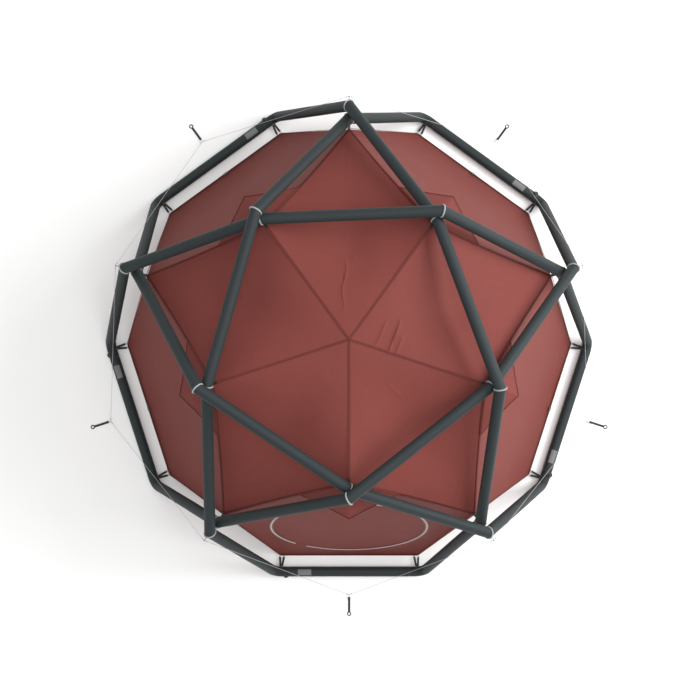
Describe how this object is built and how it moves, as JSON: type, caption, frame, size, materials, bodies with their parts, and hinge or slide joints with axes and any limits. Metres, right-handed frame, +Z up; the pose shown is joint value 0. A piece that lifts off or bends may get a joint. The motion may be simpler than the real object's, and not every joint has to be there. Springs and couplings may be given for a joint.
{
  "type": "inflatable dome tent",
  "caption": "Geodesic dome tent: a woven frame of inflated beams over a star-roofed fly with a round zip door, vent hoods and pegged guy lines.",
  "frame": {"origin": "on the ground under the centre of the groundsheet", "axes": "+Z up; the door is on the -Y side; +X to the right of someone who faces the door"},
  "size_m": [3.5108, 3.4202, 1.4823],
  "materials": {
    "sleeve_weave": "matte",
    "bladder_film": "satin",
    "grey_piping": "matte",
    "black_webbing": "matte",
    "valve_plastic": "satin",
    "care_patch": "matte",
    "fly_fabric": "matte",
    "fly_tape": "matte",
    "vent_mesh": "matte",
    "floor_fabric": "matte",
    "zip_coil": "satin",
    "zip_slider": "satin",
    "hook_plastic": "satin",
    "guy_cord": "matte",
    "ring_metal": "satin"
  },
  "bodies": {
    "frame": {"hoop_sleeve_1": "sleeve_weave", "hoop_sleeve_2": "sleeve_weave", "hoop_sleeve_3": "sleeve_weave", "hoop_sleeve_4": "sleeve_weave", "hoop_sleeve_5": "sleeve_weave", "hoop_bladders": "bladder_film", "ground_sleeve_1": "sleeve_weave", "ground_sleeve_2": "sleeve_weave", "ground_sleeve_3": "sleeve_weave", "ground_sleeve_4": "sleeve_weave", "ground_sleeve_5": "sleeve_weave", "ground_bladders": "bladder_film", "bend_piping": "grey_piping", "crossing_pads": "black_webbing", "valve_bodies": "valve_plastic", "care_patches": "care_patch", "roof_panel_1": "fly_fabric", "roof_panel_2": "fly_fabric", "roof_panel_3": "fly_fabric", "roof_panel_4": "fly_fabric", "roof_panel_5": "fly_fabric", "front_wall": "fly_fabric", "side_wall_1": "fly_fabric", "side_wall_2": "fly_fabric", "side_wall_3": "fly_fabric", "side_wall_4": "fly_fabric", "corner_panel_1": "fly_fabric", "corner_panel_2": "fly_fabric", "corner_panel_3": "fly_fabric", "corner_panel_4": "fly_fabric", "corner_panel_5": "fly_fabric", "roof_seams": "fly_tape", "roof_hems": "fly_tape", "base_hems": "fly_tape", "vent_hoods": "fly_fabric", "vent_meshes": "vent_mesh", "groundsheet": "floor_fabric", "wall_zip_tape": "zip_coil", "corner_straps": "black_webbing", "corner_rings": "hook_plastic", "node_hooks": "black_webbing", "base_tabs": "black_webbing", "guy_line_1": "guy_cord", "guy_line_2": "guy_cord", "guy_line_3": "guy_cord", "guy_line_4": "guy_cord", "guy_line_5": "guy_cord", "guy_loops": "black_webbing", "peg_straps": "black_webbing", "strap_rings": "ring_metal"},
    "door": {"door_flap": "fly_fabric", "door_zip_tape": "zip_coil"},
    "upper_slider": {"zip_slider_1": "zip_slider"},
    "lower_slider": {"zip_slider_2": "zip_slider"},
    "cap_1": {"valve_cap_1": "valve_plastic"},
    "cap_2": {"valve_cap_2": "valve_plastic"},
    "cap_3": {"valve_cap_3": "valve_plastic"},
    "cap_4": {"valve_cap_4": "valve_plastic"},
    "cap_5": {"valve_cap_5": "valve_plastic"}
  },
  "joints": [
    {"name": "door_hinge", "type": "hinge", "parent": "frame", "child": "door", "pos_m": [-0.31693, -1.32162, 0.23579], "axis": [-0.7604, 0.2796, 0.5862], "range_deg": [0, 46]},
    {"name": "upper_slider_run", "type": "hinge", "parent": "frame", "child": "upper_slider", "pos_m": [0, -1.16374, 0.57161], "axis": [0, -0.9026, 0.4306], "range_deg": [0, 172]},
    {"name": "lower_slider_run", "type": "hinge", "parent": "frame", "child": "lower_slider", "pos_m": [0, -1.16374, 0.57161], "axis": [0, 0.9026, -0.4306], "range_deg": [0, 172]},
    {"name": "valve_cap_1_hinge", "type": "hinge", "parent": "frame", "child": "cap_1", "pos_m": [1.24649, 1.02492, 0.06635], "axis": [-0.4815, -0.6627, 0.5736], "range_deg": [0, 120]},
    {"name": "valve_cap_2_hinge", "type": "hinge", "parent": "frame", "child": "cap_2", "pos_m": [-0.58957, 1.5022, 0.06635], "axis": [0.4815, -0.6627, 0.5736], "range_deg": [0, 120]},
    {"name": "valve_cap_3_hinge", "type": "hinge", "parent": "frame", "child": "cap_3", "pos_m": [-1.61086, -0.09651, 0.06635], "axis": [0.7791, 0.2531, 0.5736], "range_deg": [0, 120]},
    {"name": "valve_cap_4_hinge", "type": "hinge", "parent": "frame", "child": "cap_4", "pos_m": [-0.406, -1.56184, 0.06635], "axis": [0, 0.8192, 0.5736], "range_deg": [0, 120]},
    {"name": "valve_cap_5_hinge", "type": "hinge", "parent": "frame", "child": "cap_5", "pos_m": [1.35994, -0.86877, 0.06635], "axis": [-0.7791, 0.2531, 0.5736], "range_deg": [0, 120]}
  ]
}
